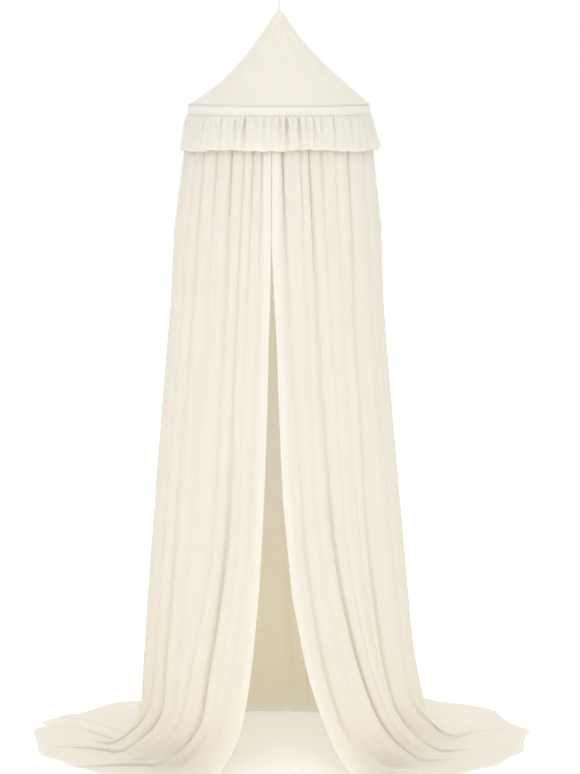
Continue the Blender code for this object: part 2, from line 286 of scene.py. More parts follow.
cord_sizes = {"Ply radius": 0.000464, "Ply offset": 0.000536, "Turns per metre": 170.0, "Step": 0.0005}
tree, given, end = node_tree("twisted_cord", cord_sizes)
fine_line = add(
    tree,
    "GeometryNodeResampleCurve",
    {"Curve": given["Geometry"], "Length": given["Step"]},
    mode="LENGTH",
)
along_line = add(tree, "GeometryNodeSplineParameter").outputs["Length"]
twist = calc(tree, "MULTIPLY", calc(tree, "MULTIPLY", along_line, given["Turns per metre"]), 2 * math.pi)
twisted = add(tree, "GeometryNodeSetCurveTilt", {"Curve": fine_line.outputs[0], "Tilt": twist})
ply = add(tree, "GeometryNodeCurvePrimitiveCircle", {"Resolution": 8, "Radius": given["Ply radius"]})
corners = add(tree, "GeometryNodeCurvePrimitiveCircle", {"Resolution": 3, "Radius": given["Ply offset"]})
plies = add(tree, "GeometryNodeInstanceOnPoints", {"Points": corners.outputs[0], "Instance": ply.outputs[0]})
section = add(tree, "GeometryNodeRealizeInstances", {"Geometry": plies.outputs[0]})
rope = add(
    tree,
    "GeometryNodeCurveToMesh",
    {"Curve": twisted.outputs[0], "Profile Curve": section.outputs[0], "Fill Caps": True},
)
cord_cotton = spun_cotton(
    "cord_cotton",
    dark=(0.62, 0.57, 0.48),
    light=(0.82, 0.77, 0.68),
    fibres=(2600.0, 3.0),
    relief=(0.5, 0.0002),
    roughness=0.82,
    sheen=0.25,
)
finish_tree(tree, rope.outputs[0], cord_cotton, end)
hanging_cord = grown("hanging_cord", thread_line("cord_route", [route]), tree, cord_sizes)
hanging_cord.data.shade_smooth()
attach(hanging_cord, "root")
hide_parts("hanging_loop")

# The hoop: a plain off-white plastic ring, closed, that spreads the roof. It lies hidden in the fold of the
# band and shows only from inside.

HOOP_HEIGHT = 1.832
HOOP_INSET = 0.0002
hoop_low, hoop_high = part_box("hoop")
TUBE_RADIUS = (hoop_high.z - hoop_low.z) / 2
HOOP_RADIUS = (hoop_high.x - hoop_low.x) / 2 - TUBE_RADIUS


def hoop_plastic():
    """Moulded plastic, here and there a little less smooth."""
    made, tree, shader = new_material("hoop_plastic")
    place = add(tree, "ShaderNodeTexCoord").outputs["Object"]
    spots = add(tree, "ShaderNodeTexNoise", {"Vector": place, "Scale": 90.0, "Detail": 4.0}).outputs["Fac"]
    polish = add(tree, "ShaderNodeMapRange", {"Value": spots, "To Min": 0.36, "To Max": 0.52})
    bump = add(tree, "ShaderNodeBump", {"Height": spots, "Strength": 0.15, "Distance": 0.0005})
    looks = {
        "Base Color": (0.80, 0.79, 0.76, 1.0),
        "Roughness": polish.outputs[0],
        "Normal": bump.outputs["Normal"],
    }
    feed(tree, shader, looks)
    return made


def seed_mesh(name):
    """An empty mesh object, for a tree that makes its whole shape itself."""
    return bpy.data.objects.new(name, bpy.data.meshes.new(name))


def circle(tree, steps, radius):
    """A ring of straight steps, flat on the ground plane."""
    return add(tree, "GeometryNodeCurvePrimitiveCircle", {"Resolution": steps, "Radius": radius}).outputs[0]


hoop_sizes = {
    "Ring radius": HOOP_RADIUS,
    "Tube radius": TUBE_RADIUS - HOOP_INSET,
    "Height": FLOOR + HOOP_HEIGHT,
    "Ring steps": 180,
    "Tube steps": 16,
}
tree, given, end = node_tree("plain_hoop", hoop_sizes)
ring = circle(tree, given["Ring steps"], given["Ring radius"])
tube = circle(tree, given["Tube steps"], given["Tube radius"])
raised = add(tree, "ShaderNodeCombineXYZ", {"Z": given["Height"]}).outputs[0]
lifted = add(tree, "GeometryNodeTransform", {"Geometry": ring, "Translation": raised}).outputs[0]
hoop_body = add(tree, "GeometryNodeCurveToMesh", {"Curve": lifted, "Profile Curve": tube}).outputs[0]
finish_tree(tree, hoop_body, hoop_plastic(), end)
hoop_ring = grown("hoop_ring", seed_mesh("hoop_seed"), tree, hoop_sizes)
hoop_ring.data.shade_smooth()
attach(hoop_ring, "root")
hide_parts("hoop")

# The roof: one panel of cotton, cut as part of a circle and closed by a seam at the back. It hangs from its
# stitched tip and sags a little inward on its way down to the hoop, with soft creases below the tip.

HOOP_SLACK = 0.0003
BAND_SOLID_CLOTH = 0.0018
BAND_FACE = TUBE_RADIUS + HOOP_SLACK + BAND_SOLID_CLOTH
ROOF_CLOTH = 0.0011
ROOF_SEAT = 0.0008
ROOF_REACH = BAND_FACE + ROOF_SEAT
ROOF_SEAM_ANGLE = math.radians(53)
ROOF_FOOT_RADIUS = HOOP_RADIUS + ROOF_REACH * math.cos(ROOF_SEAM_ANGLE) + ROOF_CLOTH / 2
ROOF_FOOT_HEIGHT = HOOP_HEIGHT + ROOF_REACH * math.sin(ROOF_SEAM_ANGLE)
ROOF_CUT_RADIUS = 0.36
TIP_RADIUS = 0.0045
TIP_RISE = 0.0008
CREAM = (0.881, 0.863, 0.817)
WEAVE_PITCH = 0.0007
HEM_SHADE = 0.16
# Places down the drape's cut where a painted warm shade fades in on the light through the hanging cloth, and
# where it fades out again just above the floor.
PAINTED_SHADE_BETWEEN = (-1.05, -1.68)
STANDS_BETWEEN = (-1.88, -1.77)


def cotton(name, colour, show_through, crinkle):
    """Plain woven cotton, whose own cut, in metres, carries the weave, thick yarns and upright crinkles.

    A hem lets less light through, and low on the hanging drape a painted warm shade tints the light that
    comes through.
    """
    made, tree, shader = new_material(name)
    cut = add(tree, "ShaderNodeUVMap", uv_map="cut").outputs["UV"]
    doubled = add(tree, "ShaderNodeAttribute", attribute_name="hem").outputs["Fac"]

    def stretched(across, along, detail, roughness):
        """Noise with so many waves to a metre across the cloth and along it."""
        scaled = add(tree, "ShaderNodeMapping", {"Vector": cut, "Scale": (across, along, 1.0)})
        place = scaled.outputs["Vector"]
        inputs = {"Vector": place, "Scale": 1.0, "Detail": detail, "Roughness": roughness}
        return add(tree, "ShaderNodeTexNoise", inputs).outputs["Fac"]

    def yarns(way):
        """Even yarns in one way of the cloth, one to a pitch of the weave."""
        inputs = {"Vector": cut, "Scale": 2 * math.pi / (20 * WEAVE_PITCH), "Distortion": 0.6}
        return add(tree, "ShaderNodeTexWave", inputs, bands_direction=way).outputs["Fac"]

    weave = calc(tree, "MULTIPLY", yarns("X"), yarns("Y"))
    slubs = calc(tree, "ADD", stretched(900.0, 22.0, 2.0, 0.6), stretched(18.0, 900.0, 2.0, 0.6))
    fine = stretched(260.0, 16.0, 3.0, 0.62)
    broad = stretched(70.0, 5.0, 2.0, 0.5)
    cloud = stretched(9.0, 3.0, 3.0, 0.55)

    relief = calc(tree, "MULTIPLY_ADD", weave, 0.10, calc(tree, "MULTIPLY", slubs, 0.16))
    relief = calc(tree, "MULTIPLY_ADD", fine, crinkle, relief)
    relief = calc(tree, "MULTIPLY_ADD", broad, 1.6 * crinkle, relief)
    bump = add(tree, "ShaderNodeBump", {"Height": relief, "Strength": 0.8, "Distance": 0.0011})
    normal = bump.outputs["Normal"]

    shade = calc(tree, "MULTIPLY_ADD", slubs, 0.35, calc(tree, "MULTIPLY", cloud, 0.65))
    darker = [c * d for c, d in zip(colour, (0.978, 0.972, 0.955))]
    lighter = [min(c * d, 0.96) for c, d in zip(colour, (1.016, 1.018, 1.024))]
    tint = two_tone(tree, shade, darker, lighter)
    looks = {
        "Base Color": tint,
        "Normal": normal,
        "Roughness": 0.93,
        "Specular IOR Level": 0.25,
        "Sheen Weight": 0.08,
        "Sheen Roughness": 0.5,
    }
    feed(tree, shader, looks)

    down = add(tree, "ShaderNodeSeparateXYZ", {0: cut}).outputs["Y"]

    def rising(start, end):
        """A share that rises from 0 to 1 between two places down the cut."""
        return add(tree, "ShaderNodeMapRange", {"Value": down, "From Min": start, "From Max": end}).outputs[0]

    # Painted shade: low on the hanging drape, the colour of the light that comes through the cloth is made
    # warmer and dimmer.
    low = calc(tree, "MULTIPLY", rising(*PAINTED_SHADE_BETWEEN), rising(*STANDS_BETWEEN))
    painted_warm_shade = two_tone(tree, low, (1.0, 0.985, 0.945), (1.0, 0.955, 0.83))
    tint_with_painted_shade = add(tree, "ShaderNodeMix", {0: 1.0, 6: tint, 7: painted_warm_shade}, data_type="RGBA", blend_type="MULTIPLY")
    through = add(tree, "ShaderNodeBsdfTranslucent", {"Color": tint_with_painted_shade.outputs[2], "Normal": normal})
    share = calc(tree, "MULTIPLY", show_through, calc(tree, "MULTIPLY_ADD", doubled, -HEM_SHADE, 1.0))
    both = add(tree, "ShaderNodeMixShader", {0: share, 1: shader.outputs[0], 2: through.outputs[0]})
    tree.links.new(both.outputs[0], tree.nodes["Material Output"].inputs["Surface"])
    return made


def finish_cloth(obj, node):
    """The cloth rides the one body and takes the place of its solid."""
    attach(obj, "root")
    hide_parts(node)


roof_sizes = {
    "Foot radius": ROOF_FOOT_RADIUS,
    "Tip radius": TIP_RADIUS,
    "Cut radius": ROOF_CUT_RADIUS,
    "Height": TIP_HEIGHT - ROOF_FOOT_HEIGHT,
    "Top": FLOOR + TIP_HEIGHT + TIP_RISE,
    "Sag": 0.52,
    "Lean": 0.008,
    "Fullness": 0.0045,
    "Crease": 0.055,
    "Long crease": 0.0009,
    "Pucker": 0.0005,
    "Round steps": 385,
    "Rows": 56,
}
tree, given, end = node_tree("roof_panel", roof_sizes)
flat = add(
    tree,
    "GeometryNodeMeshGrid",
    {"Size X": 1.0, "Size Y": 1.0, "Vertices X": given["Round steps"], "Vertices Y": given["Rows"]},
)
spot = add(tree, "ShaderNodeSeparateXYZ", {0: add(tree, "GeometryNodeInputPosition").outputs[0]}).outputs
turn = calc(tree, "MULTIPLY", spot["X"], 2 * math.pi)
share = calc(tree, "POWER", calc(tree, "SUBTRACT", 0.5, spot["Y"]), 1.25)
rest = calc(tree, "SUBTRACT", 1.0, share)

# The cone's radius, with its sag and a small round tip.
hollow = calc(tree, "MULTIPLY", given["Sag"], calc(tree, "POWER", share, 1.15))
hollow = calc(tree, "MULTIPLY", hollow, rest)
tip_round = calc(tree, "MINIMUM", calc(tree, "MULTIPLY", share, 120.0), 1.0)
tip_round = calc(tree, "MULTIPLY", given["Tip radius"], tip_round)
spread = calc(tree, "SUBTRACT", given["Foot radius"], given["Tip radius"])
radius = calc(tree, "MULTIPLY_ADD", calc(tree, "SUBTRACT", share, hollow), spread, tip_round)

# A little more cloth to the right.
to_right = calc(tree, "SUBTRACT", 0.5, calc(tree, "MULTIPLY", calc(tree, "SINE", turn), 0.5))
full = calc(tree, "MULTIPLY", calc(tree, "SINE", calc(tree, "MULTIPLY", share, math.pi)), given["Fullness"])
full = calc(tree, "MULTIPLY", full, to_right)

# Creases below the tip and long soft waves under them.
uneven = calc(tree, "MULTIPLY", calc(tree, "SINE", calc(tree, "MULTIPLY", turn, 2.0)), 1.3)
wave = calc(tree, "SINE", calc(tree, "MULTIPLY_ADD", turn, 12.0, uneven))
fade = calc(tree, "POWER", rest, 2.0)
fade = calc(tree, "MULTIPLY", fade, calc(tree, "MINIMUM", calc(tree, "MULTIPLY", share, 10.0), 1.0))
crease = calc(tree, "MULTIPLY", given["Crease"], radius)
crease = calc(tree, "MULTIPLY", crease, calc(tree, "MULTIPLY", fade, wave))
long_wave = calc(tree, "SINE", calc(tree, "MULTIPLY_ADD", turn, 7.0, calc(tree, "MULTIPLY", uneven, 2.0)))
long_wave = calc(tree, "MULTIPLY", long_wave, given["Long crease"])
long_wave = calc(tree, "MULTIPLY", long_wave, calc(tree, "MULTIPLY", share, fade))

# Small puckers where it meets the band.
near_foot = calc(tree, "POWER", share, 40.0)
pull = calc(tree, "SINE", calc(tree, "MULTIPLY_ADD", turn, 150.0, calc(tree, "MULTIPLY", uneven, 9.0)))
pucker = calc(tree, "MULTIPLY", calc(tree, "MULTIPLY", given["Pucker"], near_foot), pull)

drawn = calc(tree, "ADD", calc(tree, "ADD", crease, long_wave), pucker)
reach = calc(tree, "ADD", calc(tree, "ADD", radius, full), drawn)
inward = calc(tree, "MULTIPLY", reach, -1.0)
leaning = calc(tree, "SINE", calc(tree, "MULTIPLY", calc(tree, "POWER", share, 3.1), math.pi))
x = calc(tree, "MULTIPLY", inward, calc(tree, "SINE", turn))
x = calc(tree, "MULTIPLY_ADD", leaning, given["Lean"], x)
y = calc(tree, "MULTIPLY", inward, calc(tree, "COSINE", turn))
z = calc(tree, "SUBTRACT", given["Top"], calc(tree, "MULTIPLY", share, given["Height"]))
roof_place = add(tree, "ShaderNodeCombineXYZ", {"X": x, "Y": y, "Z": z}).outputs[0]
cut_across = calc(tree, "MULTIPLY", turn, calc(tree, "MULTIPLY", share, given["Foot radius"]))
cut_down = calc(tree, "MULTIPLY", share, given["Cut radius"])
cut_place = add(tree, "ShaderNodeCombineXYZ", {"X": cut_across, "Y": cut_down}).outputs[0]
marked = add(
    tree,
    "GeometryNodeStoreNamedAttribute",
    {"Geometry": flat.outputs["Mesh"], "Name": "cut", "Value": cut_place},
    data_type="FLOAT2",
    domain="CORNER",
)
shaped = add(tree, "GeometryNodeSetPosition", {"Geometry": marked.outputs[0], "Position": roof_place})
joined = add(tree, "GeometryNodeMergeByDistance", {"Geometry": shaped.outputs[0], "Distance": 0.00001})
outward = add(tree, "GeometryNodeFlipFaces", {"Mesh": joined.outputs[0]})
roof_cotton = cotton("roof_cotton", CREAM, show_through=0.46, crinkle=0.25)
finish_tree(tree, outward.outputs[0], roof_cotton, end)
roof_panel = grown("roof_panel", seed_mesh("roof_seed"), tree, roof_sizes)
roof_panel.data.shade_smooth()
lining = roof_panel.modifiers.new("cloth_thickness", "SOLIDIFY")
lining.thickness = ROOF_CLOTH
lining.offset = -1.0
finish_cloth(roof_panel, "roof")

# The band: a strip of the same cotton folded over the hoop and stitched below it, lighter to the eye because
# it is doubled. Its lower edge is puckered a little by the gathers sewn under it.

BAND_FOOT = 1.812
BAND_CLOTH = 0.0013
BAND_REACH = BAND_FACE - BAND_CLOTH / 2
BAND_COLUMNS = 900
BAND_PUCKER = 0.0010
BAND_HOLLOW = 0.0012
BAND_SLACK = 0.0005
BAND_EDGE_WAVER = 0.0008
BAND_CREAM = (0.884, 0.862, 0.812)


def rough(across, along, seed):
    """Smooth random waves from -1 to 1 over a plane, one wave to a unit."""
    table = np.random.default_rng(seed).uniform(-1, 1, (256, 256))
    left, top = np.floor(across).astype(int), np.floor(along).astype(int)
    s, t = across - left, along - top
    s, t = s * s * (3 - 2 * s), t * t * (3 - 2 * t)
    a, b, c, d = left % 256, (left + 1) % 256, top % 256, (top + 1) % 256
    near = table[a, c] * (1 - s) + table[b, c] * s
    return near * (1 - t) + (table[a, d] * (1 - s) + table[b, d] * s) * t


def steps_along(grid, axis):
    """Distance walked along one way of a grid, from its start."""
    walked = np.cumsum(np.linalg.norm(np.diff(grid, axis=axis), axis=2), axis=axis)
    return np.concatenate([np.zeros_like(np.take(walked, [0], axis)), walked], axis)


def outward_of(grid, wraps):
    """Unit normals on the outer side of a grid whose columns run by rising turn and whose rows run down."""
    across = np.roll(grid, -1, 1) - np.roll(grid, 1, 1) if wraps else np.gradient(grid, axis=1)
    normal = np.cross(across, np.gradient(grid, axis=0))
    return normal / np.linalg.norm(normal, axis=2, keepdims=True)


def cloth_piece(name, grid, cut, thickness, hem, material, wraps=False):
    """A closed sheet of cloth round the middle surface that a grid gives, with its own cut as its UV map."""
    rows, columns = grid.shape[:2]
    wide = cut.shape[1]
    half = outward_of(grid, wraps) * np.broadcast_to(thickness, (rows, columns))[..., None] / 2
    ids, spots, curved = [], [], []

    def faces(smooth, *corners):
        """Quads whose corners are each a side (0 outer, 1 inner), a row and a column."""
        on_side = [np.ravel((s * rows + r) * columns + c % columns) for s, r, c in corners]
        ids.append(np.stack(on_side, 1))
        spots.append(np.stack([np.ravel(r * wide + c) for s, r, c in corners], 1))
        curved.append(np.full(len(ids[-1]), smooth))

    last_row = rows - 1
    r, c = np.meshgrid(np.arange(last_row), np.arange(wide - 1), indexing="ij")
    faces(True, (0, r, c), (0, r, c + 1), (0, r + 1, c + 1), (0, r + 1, c))
    faces(True, (1, r, c), (1, r + 1, c), (1, r + 1, c + 1), (1, r, c + 1))
    c = np.arange(wide - 1)
    faces(False, (1, 0, c), (1, 0, c + 1), (0, 0, c + 1), (0, 0, c))
    faces(False, (0, last_row, c), (0, last_row, c + 1), (1, last_row, c + 1), (1, last_row, c))
    if not wraps:
        r, end_column = np.arange(last_row), columns - 1
        faces(False, (0, r, 0), (0, r + 1, 0), (1, r + 1, 0), (1, r, 0))
        faces(False, (1, r, end_column), (1, r + 1, end_column), (0, r + 1, end_column), (0, r, end_column))
    mesh = bpy.data.meshes.new(name)
    points = placed(np.concatenate([(grid + half).reshape(-1, 3), (grid - half).reshape(-1, 3)]))
    mesh.from_pydata(points.tolist(), [], np.concatenate(ids).tolist())
    mesh.polygons.foreach_set("use_smooth", np.concatenate(curved))
    mesh.uv_layers.new(name="cut").data.foreach_set("uv", cut.reshape(-1, 2)[np.concatenate(spots)].ravel())
    hem_mark = mesh.attributes.new("hem", "FLOAT", "POINT")
    hem_mark.data.foreach_set("value", np.tile(np.broadcast_to(hem, (rows, columns)).ravel(), 2))
    mesh.materials.append(material)
    return show(bpy.data.objects.new(name, mesh))


def small_gathers(turns):
    """Fine gathers round the hoop, unevenly spaced, from -1 to 1."""
    return np.sin(150 * turns + 9 * np.sin(2 * turns) + 5 * np.sin(5 * turns))


def round_the_hoop(reach, turns, heights):
    """Points at every turn, in radians, at a distance from the middle and at a height."""
    return np.stack([-reach * np.sin(turns), -reach * np.cos(turns), heights + 0 * turns], axis=2)


turns = np.linspace(-math.pi, math.pi, BAND_COLUMNS, endpoint=False)
over_the_hoop = np.radians(np.linspace(225, 0, 13))
below_the_hoop = (0.2, 0.4, 0.55, 0.7, 0.82, 0.92, 1.0)
profile = [(BAND_REACH * math.cos(a), HOOP_HEIGHT + BAND_REACH * math.sin(a)) for a in over_the_hoop]
profile += [(BAND_REACH, HOOP_HEIGHT + (BAND_FOOT - HOOP_HEIGHT) * down) for down in below_the_hoop]
profile = np.array(profile)
sunk = (HOOP_HEIGHT - profile[:, 1:]) / (HOOP_HEIGHT - BAND_FOOT)
low = np.clip(sunk, 0, 1) * (profile[:, :1] > 0)
pull = small_gathers(turns)[None]
slack = rough(turns[None] * 14 + 0 * low, 3 * low, 3) * np.sin(np.pi * low)
reach = HOOP_RADIUS + profile[:, :1] + BAND_PUCKER * pull * low**2
reach = reach - BAND_HOLLOW * low * (1 - low) + BAND_SLACK * slack
band_grid = round_the_hoop(reach, turns, profile[:, 1:] + BAND_EDGE_WAVER * pull * low**3)
band_down = np.concatenate([[0], np.cumsum(np.linalg.norm(np.diff(profile, axis=0), axis=1))])
band_around = np.linspace(0, 2 * math.pi, BAND_COLUMNS + 1) * (HOOP_RADIUS + BAND_REACH)
band_cut = np.stack(np.meshgrid(band_around, -band_down), axis=2)
band_cotton = cotton("band_cotton", BAND_CREAM, show_through=0.40, crinkle=0.3)
band = cloth_piece("band_strip", band_grid, band_cut, BAND_CLOTH, 0.0, band_cotton, wraps=True)
finish_cloth(band, "band")

# The ruffle: a short gathered valance sewn under the band. Its gathers start at the seam, a few are deep, and
# they fade towards a narrow free hem that flares and wavers.

RUFFLE_FOOT = 1.720
RUFFLE_CLOTH = 0.0011
RUFFLE_SEAM_RADIUS = HOOP_RADIUS + BAND_FACE - 0.0006
RUFFLE_HEAD = BAND_FOOT - 0.0004
RUFFLE_FLARE = 0.0245
RUFFLE_WIDTH = 2.1
RUFFLE_WAVES = 36
WAVE_DEPTH = 0.0013
PLEAT_DEPTH = 0.0016
SMALL_GATHER = 0.0015
FLUTTER = 0.0005
RIGHT_TIP_OUT = 0.0035
RIGHT_TIP_DOWN = 0.010
RUFFLE_COLUMNS = 1500
RUFFLE_HEM = 0.009
SEEN_PLEATS = (  # turn, depth in steps of about 1.8 mm, reach towards the hem as a share
    (46.0, 1.6, 0.6),
    (37.1, 3.0, 1.3),
    (31.0, 2.0, 0.6),
    (27.1, 3.2, 1.3),
    (20.9, 4.8, 1.7),
    (14.3, 2.2, 0.7),
    (9.0, 2.2, 1.0),
    (4.0, 2.6, 0.8),
    (359.4, 2.8, 0.9),
    (355.5, 4.8, 1.7),
    (348.0, 4.6, 1.6),
    (343.2, 2.0, 0.6),
    (338.5, 3.4, 1.4),
    (333.5, 3.0, 0.8),
    (325.0, 3.4, 1.3),
    (318.0, 2.0, 0.7),
    (311.0, 2.8, 0.9),
    (303.0, 2.4, 0.8),
)

turns = np.linspace(-math.pi, math.pi, RUFFLE_COLUMNS, endpoint=False)[None]
share = (np.linspace(0, 1, 28) ** 1.15)[:, None]
luck = np.random.default_rng(41)
pleats = list(SEEN_PLEATS)
place = 52.0
while place < 299:
    pleats.append((place, luck.uniform(1.5, 4.2), luck.uniform(0.5, 1.0)))
    place += luck.uniform(4.5, 9.5)
gather = np.zeros((len(share), RUFFLE_COLUMNS))
for place, deep, down in pleats:
    apart = (np.degrees(turns) - place + 180) % 360 - 180
    width = 0.66 + 0.75 * share
    fade = np.clip(share / 0.15, 0, 1) * np.clip(1.12 - share / down, 0.10, 1)
    ridge = np.exp(-(((np.abs(apart) - 2.2 * width) / (1.1 * width)) ** 2))
    gather += PLEAT_DEPTH * deep * fade * (0.55 * ridge - 1.15 * np.exp(-((apart / width) ** 2)))
pull = small_gathers(turns)
tight = 1 - 0.65 * np.exp(-(((np.degrees(turns) - 78) / 36) ** 2))
patchy = 0.6 + 0.4 * rough(turns * 9, 0 * turns, 31)
flutter = FLUTTER * rough(turns * 60, share * 2.5, 5) * np.clip(share / 0.2, 0, 1)
gather += SMALL_GATHER * tight * pull * np.exp(-share / 0.22) * patchy + flutter
pleat = RUFFLE_WAVES * turns / (2 * math.pi)
wander = pleat - 0.22 * np.sin(1.7 * pleat)
gather += WAVE_DEPTH * np.cos(2 * math.pi * wander) * share * (0.6 - 0.4 * np.sin(turns))
flare = RUFFLE_FLARE * share**0.85 + 0.0025 * np.sin(3 * turns + 0.6) * share**2
right_tip = np.exp(-(((np.degrees(turns) + 89) / 5) ** 2))
reach = RUFFLE_SEAM_RADIUS + flare + gather + RIGHT_TIP_OUT * right_tip * share**2
drop = RUFFLE_HEAD - RUFFLE_FOOT - 0.001 + 0.008 * np.sin(turns) ** 2 + 0.0022 * np.sin(7 * turns + 1.0)
drop = drop + 0.0018 * rough(turns * 22, 0 * turns, 7) - RIGHT_TIP_DOWN * right_tip
heights = RUFFLE_HEAD - share * drop + 0.0008 * pull * np.exp(-share / 0.05)
ruffle_grid = round_the_hoop(reach, turns, heights)
ruffle_down = steps_along(ruffle_grid, 0).mean(axis=1)
ruffle_around = np.linspace(0, RUFFLE_WIDTH, RUFFLE_COLUMNS + 1)
ruffle_cut = np.stack(np.meshgrid(ruffle_around, -ruffle_down), axis=2)
ruffle_hem = np.clip((ruffle_down - ruffle_down[-1] + RUFFLE_HEM) / 0.002 + 0.5, 0, 1)[:, None]
ruffle_cotton = cotton("ruffle_cotton", CREAM, show_through=0.46, crinkle=0.4)
ruffle = cloth_piece(
    "ruffle_valance",
    ruffle_grid,
    ruffle_cut,
    RUFFLE_CLOTH + 0.0003 * ruffle_hem,
    0.3 * ruffle_hem,
    ruffle_cotton,
    wraps=True,
)
finish_cloth(ruffle, "ruffle")

# The drape: one long gathered cloth with an opening at the front, hung under the ruffle. It falls in narrow
# folds that widen downward, and its lower end lies on the floor, swept to both sides. Its two edges and its
# foot are hemmed.

DRAPE_HEAD = 1.822
HANG_TOP = 1.800
UNDER_RUFFLE = 1.720
MIDDLE = 0.785
LANDING = 0.150
BEND_SHARE = 0.42
BEND_ROWS = 9
BEND_PASSES = 14
DRAPE_CLOTH = 0.0012
DRAPE_HEM_EXTRA = 0.0008
OFF_FLOOR = 0.0003
EDGE_HEM = 0.022
FOOT_HEM = 0.020
FRONT_COLUMNS = 19
BACK_COLUMNS = 12
BACK_FOLDS = 13
DRAPE_MIDDLE_WIDTH = 2.8
MIDDLE_ROWS = slice(30, 60)
HEAD_RADIUS = 0.248
TUCK_UNDER_RUFFLE = 0.012
WIDENING = 0.0885
SHOULDER = 0.007
SHOULDER_HEIGHT = 1.48
BOW_TO_LEFT = 0.0050
FOOT_TO_RIGHT = 0.011
DEEPENING = 0.0665
FOLD_WIDTHS = (0.009, 0.018, 0.026)
FOLD_WANDER = 0.45
FRONT_DRIFT = 0.21
RIGHT_DRIFT = 0.13
BACK_WAVER = 0.016
LYING_GAP = 0.0009
BUCKLE = 0.0024
EDGE_ROLL = 0.0014

Fold = namedtuple("Fold", "head middle foot head_depth middle_depth foot_depth")
Opening = namedtuple("Opening", "height left right")

LEFT_FOLDS = (
    Fold(4.6, 7.9, 17.8, 0.000, 0.000, 0.000),
    Fold(9.7, 13.8, 26.0, 0.006, 0.004, 0.003),
    Fold(16.0, 19.3, 31.5, 0.007, 0.003, 0.002),
    Fold(21.6, 25.2, 38.0, 0.006, 0.014, 0.017),
    Fold(29.5, 33.0, 47.0, 0.009, 0.008, 0.004),
    Fold(40.0, 45.0, 53.0, 0.005, 0.004, 0.003),
    Fold(51.5, 57.0, 60.0, 0.008, 0.010, 0.016),
    Fold(63.0, 66.0, 70.0, 0.005, 0.006, 0.014),
)
RIGHT_FOLDS = (
    Fold(297.0, 294.0, 291.0, 0.005, 0.006, 0.012),
    Fold(313.5, 313.5, 303.0, 0.009, 0.011, 0.020),
    Fold(324.0, 321.0, 307.0, 0.005, 0.002, 0.001),
    Fold(334.0, 328.0, 310.5, 0.007, 0.002, 0.001),
    Fold(341.8, 334.5, 314.5, 0.009, 0.013, 0.014),
    Fold(347.4, 340.5, 324.0, 0.006, 0.003, 0.003),
    Fold(358.5, 348.6, 333.3, 0.010, 0.009, 0.012),
    Fold(364.15, 357.9, 341.4, 0.000, 0.000, 0.000),
)
FRONT_OPENING = (  # turns of its edges at each height, the right one's past a full turn
    Opening(1.822, 4.60, 4.15),
    Opening(1.460, 4.40, 4.05),
    Opening(1.325, 4.80, 2.67),
    Opening(1.223, 5.37, 1.47),
    Opening(1.022, 6.00, 0.09),
    Opening(0.790, 7.20, -1.65),
    Opening(0.520, 9.40, -5.90),
    Opening(0.345, 11.90, -11.20),
    Opening(0.260, 13.80, -14.10),
    Opening(0.150, 17.80, -18.60),
)
HEM = (  # turn, x, y
    (17.8, -0.410, -0.375),
    (26.0, -0.470, -0.290),
    (33.1, -0.524, -0.218),
    (39.5, -0.587, -0.171),
    (44.9, -0.619, -0.124),
    (51.7, -0.672, -0.076),
    (56.9, -0.691, -0.027),
    (66.8, -0.704, 0.072),
    (77.9, -0.723, 0.174),
    (86.9, -0.693, 0.226),
    (92.6, -0.706, 0.268),
    (107.5, -0.646, 0.333),
    (114.8, -0.604, 0.358),
    (125.5, -0.552, 0.422),
    (132.9, -0.512, 0.475),
    (142.0, -0.430, 0.505),
    (160.0, -0.230, 0.552),
    (180.0, 0.000, 0.560),
    (200.0, 0.230, 0.552),
    (218.0, 0.435, 0.528),
    (223.1, 0.480, 0.493),
    (233.4, 0.578, 0.444),
    (245.2, 0.648, 0.392),
    (256.8, 0.662, 0.334),
    (268.3, 0.678, 0.272),
    (282.9, 0.705, 0.219),
    (291.3, 0.735, 0.167),
    (297.9, 0.710, 0.065),
    (304.5, 0.697, -0.034),
    (310.4, 0.661, -0.082),
    (316.3, 0.631, -0.130),
    (322.5, 0.604, -0.177),
    (330.9, 0.535, -0.223),
    (341.4, 0.430, -0.340),
)
# Ridges of the cloth on the floor: the fold that each runs out from, its height, its reach and its overhang.
LAID_RIDGES = (
    (1, 0.004, 0.9, 0.0),
    (3, 0.020, 1.1, 0.9),
    (4, 0.007, 0.8, 0.3),
    (6, 0.019, 1.0, 0.9),
    (7, 0.017, 0.60, 0.9),
    (8, 0.012, 1.1, 0.7),
    (9, 0.011, 1.2, 0.7),
    (11, 0.009, 0.8, 0.4),
    (13, 0.006, 1.1, 0.3),
    (14, 0.008, 0.7, 0.4),
    (16, 0.007, 1.0, 0.3),
    (18, 0.009, 0.9, 0.5),
    (20, 0.010, 0.7, 0.5),
    (21, 0.010, 1.15, 0.4),
    (22, 0.022, 0.62, 0.9),
    (25, 0.020, 0.62, 0.9),
    (27, 0.012, 0.80, 0.7),
)
# Soft swellings: turn at the cloth's head, half width, height, and the middle and half length down the cloth.
SOFT_RIDGES = (
    (337.0, 2.6, 0.0042, 0.50, 0.42),
    (330.5, 2.4, 0.0050, 1.30, 0.40),
    (352.5, 2.2, 0.0030, 1.10, 0.50),
    (12.8, 3.4, 0.0040, 0.75, 0.50),
    (17.8, 2.0, 0.0030, 1.45, 0.35),
    (34.5, 3.6, 0.0040, 0.95, 0.55),
    (46.0, 3.2, 0.0040, 1.20, 0.50),
    (57.0, 3.0, 0.0030, 0.60, 0.40),
    (318.5, 3.4, 0.0040, 0.80, 0.50),
    (305.0, 3.4, 0.0040, 1.10, 0.50),
)
# Crinkles: height, width and length of their waves, and the seed.
CRINKLES = ((0.0005, 0.012, 0.10, 17), (0.0009, 0.026, 0.22, 19), (0.0034, 0.075, 0.55, 23))


